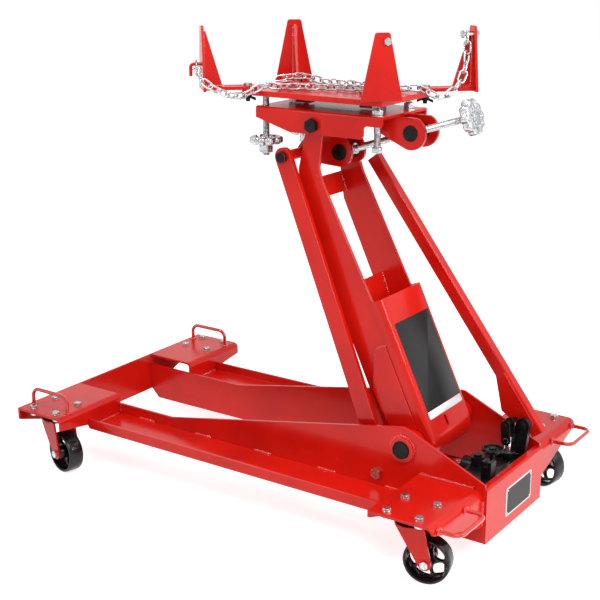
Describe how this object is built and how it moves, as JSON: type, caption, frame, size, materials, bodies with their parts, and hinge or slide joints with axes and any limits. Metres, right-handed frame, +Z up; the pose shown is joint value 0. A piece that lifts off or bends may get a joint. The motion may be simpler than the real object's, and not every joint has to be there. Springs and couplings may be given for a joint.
{
  "type": "transmission jack",
  "caption": "Wheeled low-lift hydraulic transmission jack: parallel-link arm raised from a plate chassis, tilting saddle with slotted corner brackets and tie-down chains, spoked swivel casters.",
  "frame": {"origin": "on the floor, under the middle of the overall box", "axes": "+X to the pump end, +Y to the pump-lever side, +Z up"},
  "size_m": [1.218, 0.71, 1.0912],
  "materials": {
    "red_paint": "gloss enamel",
    "black_steel": "satin black",
    "zinc": "bright zinc plate",
    "chrome": "hard chrome",
    "cast_wheel": "black enamelled casting"
  },
  "bodies": {
    "chassis": {"left_side_plate": "red_paint", "right_side_plate": "red_paint", "side_trays": "red_paint", "front_plate": "red_paint", "front_caster_seats": "red_paint", "rear_caster_seats": "red_paint", "rear_plate": "red_paint", "front_handles": "red_paint", "rear_handles": "red_paint", "main_pivot_shaft": "black_steel", "pivot_bosses": "red_paint", "link_foot_bolt": "black_steel", "caster_plates": "black_steel", "caster_bolts": "zinc", "pump_block": "black_steel", "lift_cylinder": "black_steel", "filler_plug": "black_steel", "pump_stand": "black_steel"},
    "arm": {"left_arm_plate": "red_paint", "right_arm_plate": "red_paint", "arm_cross_plates": "red_paint", "arm_pivot_tube": "red_paint", "arm_cover": "red_paint", "arm_gussets": "red_paint", "arm_crank": "red_paint", "head_shaft": "black_steel"},
    "level_link": {"level_link": "red_paint"},
    "level_bracket": {"level_bracket": "red_paint"},
    "lower_trunnion": {"lower_trunnion": "black_steel"},
    "tilt_screw": {"tilt_screw": "zinc", "tilt_knob": "zinc"},
    "upper_trunnion": {"upper_trunnion": "black_steel"},
    "head": {"head_channel": "red_paint", "roll_pivot": "zinc", "hold_down_bolts": "zinc"},
    "saddle": {"saddle_plate": "red_paint", "saddle_lugs": "red_paint", "clamp_bolts": "zinc", "tie_down_chains": "zinc"},
    "left_side_screw": {"left_side_screw": "zinc"},
    "right_side_screw": {"right_side_screw": "zinc"},
    "left_side_knob": {"left_side_knob": "zinc"},
    "right_side_knob": {"right_side_knob": "zinc"},
    "ram": {"ram": "chrome"},
    "pump_lever": {"pump_lever": "red_paint"},
    "yoke_link": {"yoke_link": "black_steel"},
    "pump_piston": {"pump_piston": "chrome"},
    "release_valve": {"release_valve": "black_steel"},
    "front_left_bracket": {"front_left_bracket": "red_paint"},
    "rear_left_bracket": {"rear_left_bracket": "red_paint"},
    "front_right_bracket": {"front_right_bracket": "red_paint"},
    "rear_right_bracket": {"rear_right_bracket": "red_paint"},
    "front_left_fork": {"front_left_fork": "red_paint"},
    "front_left_wheel": {"front_left_wheel": "cast_wheel"},
    "rear_left_fork": {"rear_left_fork": "red_paint"},
    "rear_left_wheel": {"rear_left_wheel": "cast_wheel"},
    "front_right_fork": {"front_right_fork": "red_paint"},
    "front_right_wheel": {"front_right_wheel": "cast_wheel"},
    "rear_right_fork": {"rear_right_fork": "red_paint"},
    "rear_right_wheel": {"rear_right_wheel": "cast_wheel"}
  },
  "joints": [
    {"name": "lift", "type": "hinge", "parent": "chassis", "child": "arm", "pos_m": [0.362, 0, 0.207], "axis": [0, 1, 0], "range_deg": [-72.4, 0]},
    {"name": "link_swing", "type": "hinge", "parent": "chassis", "child": "level_link", "pos_m": [0.297, 0, 0.134], "axis": [0, 1, 0], "range_deg": [-72.4, 0]},
    {"name": "levelling", "type": "hinge", "parent": "arm", "child": "level_bracket", "pos_m": [0.0929, 0, 0.88494], "axis": [0, 1, 0], "range_deg": [0, 72.4]},
    {"name": "tilt", "type": "hinge", "parent": "level_bracket", "child": "head", "pos_m": [0.0929, 0, 0.88494], "axis": [0, 1, 0], "range_deg": [-8, 8]},
    {"name": "lower_trunnion_turn", "type": "hinge", "parent": "level_bracket", "child": "lower_trunnion", "pos_m": [0.1209, 0, 0.81894], "axis": [0, 1, 0], "range_deg": [-15, 15]},
    {"name": "tilt_screw_spin", "type": "hinge", "parent": "lower_trunnion", "child": "tilt_screw", "pos_m": [0.1209, 0, 0.81894], "axis": [0.9513, 0, 0.3082], "range_deg": [-330, 330]},
    {"name": "upper_trunnion_turn", "type": "hinge", "parent": "head", "child": "upper_trunnion", "pos_m": [0.2999, 0, 0.87694], "axis": [0, 1, 0], "range_deg": [-15, 15]},
    {"name": "roll", "type": "hinge", "parent": "head", "child": "saddle", "pos_m": [0.0929, 0, 0.92694], "axis": [1, 0, 0], "range_deg": [-5, 5]},
    {"name": "left_screw_rise", "type": "slide", "parent": "head", "child": "left_side_screw", "axis": [0, 0, 1], "range_m": [-0.0075, 0.0075]},
    {"name": "left_knob_spin", "type": "hinge", "parent": "left_side_screw", "child": "left_side_knob", "pos_m": [-0.0431, -0.08, 0.84694], "axis": [0, 0, 1], "range_deg": [-220, 220]},
    {"name": "right_screw_rise", "type": "slide", "parent": "head", "child": "right_side_screw", "axis": [0, 0, 1], "range_m": [-0.0075, 0.0075]},
    {"name": "right_knob_spin", "type": "hinge", "parent": "right_side_screw", "child": "right_side_knob", "pos_m": [-0.0431, 0.08, 0.84694], "axis": [0, 0, 1], "range_deg": [-220, 220]},
    {"name": "front_left_bracket_slide", "type": "slide", "parent": "saddle", "child": "front_left_bracket", "axis": [-0.7071, -0.7071, 0], "range_m": [-0.045, 0.0046], "deforming": ["tie_down_chains"]},
    {"name": "rear_left_bracket_slide", "type": "slide", "parent": "saddle", "child": "rear_left_bracket", "axis": [0.7071, -0.7071, 0], "range_m": [-0.003, 0.0466], "deforming": ["tie_down_chains"]},
    {"name": "front_right_bracket_slide", "type": "slide", "parent": "saddle", "child": "front_right_bracket", "axis": [-0.7071, 0.7071, 0], "range_m": [-0.003, 0.0466], "deforming": ["tie_down_chains"]},
    {"name": "rear_right_bracket_slide", "type": "slide", "parent": "saddle", "child": "rear_right_bracket", "axis": [0.7071, 0.7071, 0], "range_m": [-0.049, 0.0006], "deforming": ["tie_down_chains"]},
    {"name": "ram_stroke", "type": "slide", "parent": "chassis", "child": "ram", "axis": [1, 0, 0], "range_m": [0, 0.095]},
    {"name": "pump_stroke", "type": "hinge", "parent": "chassis", "child": "pump_lever", "pos_m": [0.54, 0, 0.227], "axis": [0, 1, 0], "range_deg": [0, 35]},
    {"name": "yoke_swing", "type": "hinge", "parent": "pump_lever", "child": "yoke_link", "pos_m": [0.514, 0, 0.233], "axis": [0, 1, 0], "range_deg": [-40, 5]},
    {"name": "piston_stroke", "type": "slide", "parent": "chassis", "child": "pump_piston", "axis": [0, 0, 1], "range_m": [0, 0.01492]},
    {"name": "valve_turn", "type": "hinge", "parent": "chassis", "child": "release_valve", "pos_m": [0.519, -0.02, 0.2015], "axis": [0, 0, 1], "range_deg": [0, 180]},
    {"name": "front_left_swivel", "type": "hinge", "parent": "chassis", "child": "front_left_fork", "pos_m": [-0.537, -0.2955, 0.131], "axis": [0, 0, 1], "continuous": true},
    {"name": "front_left_wheel_spin", "type": "hinge", "parent": "front_left_fork", "child": "front_left_wheel", "pos_m": [-0.50102, -0.30414, 0.0508], "axis": [0.2334, 0.9724, 0], "continuous": true},
    {"name": "rear_left_swivel", "type": "hinge", "parent": "chassis", "child": "rear_left_fork", "pos_m": [0.474, -0.2955, 0.131], "axis": [0, 0, 1], "continuous": true},
    {"name": "rear_left_wheel_spin", "type": "hinge", "parent": "rear_left_fork", "child": "rear_left_wheel", "pos_m": [0.51001, -0.28699, 0.0508], "axis": [-0.23, 0.9732, 0], "continuous": true},
    {"name": "front_right_swivel", "type": "hinge", "parent": "chassis", "child": "front_right_fork", "pos_m": [-0.537, 0.2955, 0.131], "axis": [0, 0, 1], "continuous": true},
    {"name": "front_right_wheel_spin", "type": "hinge", "parent": "front_right_fork", "child": "front_right_wheel", "pos_m": [-0.50036, 0.30065, 0.0508], "axis": [-0.1392, 0.9903, 0], "continuous": true},
    {"name": "rear_right_swivel", "type": "hinge", "parent": "chassis", "child": "rear_right_fork", "pos_m": [0.474, 0.2955, 0.131], "axis": [0, 0, 1], "continuous": true},
    {"name": "rear_right_wheel_spin", "type": "hinge", "parent": "rear_right_fork", "child": "rear_right_wheel", "pos_m": [0.51019, 0.28781, 0.0508], "axis": [0.2079, 0.9781, 0], "continuous": true}
  ],
  "couplings": [
    {"joint": "link_swing", "follows": "lift", "ratio": 1},
    {"joint": "levelling", "follows": "lift", "ratio": -1},
    {"joint": "ram_stroke", "follows": "lift", "m_per_rad": -0.074783},
    {"joint": "lower_trunnion_turn", "follows": "tilt", "ratio": 1.0343},
    {"joint": "upper_trunnion_turn", "follows": "tilt", "ratio": 0.034307},
    {"joint": "tilt_screw_spin", "follows": "tilt", "ratio": -37.26},
    {"joint": "left_screw_rise", "follows": "roll", "m_per_rad": -0.08},
    {"joint": "right_screw_rise", "follows": "roll", "m_per_rad": 0.08},
    {"joint": "left_knob_spin", "follows": "roll", "ratio": -41.888},
    {"joint": "right_knob_spin", "follows": "roll", "ratio": 41.888},
    {"joint": "yoke_swing", "follows": "pump_stroke", "ratio": -0.68228},
    {"joint": "piston_stroke", "follows": "pump_stroke", "m_per_rad": 0.023604}
  ]
}
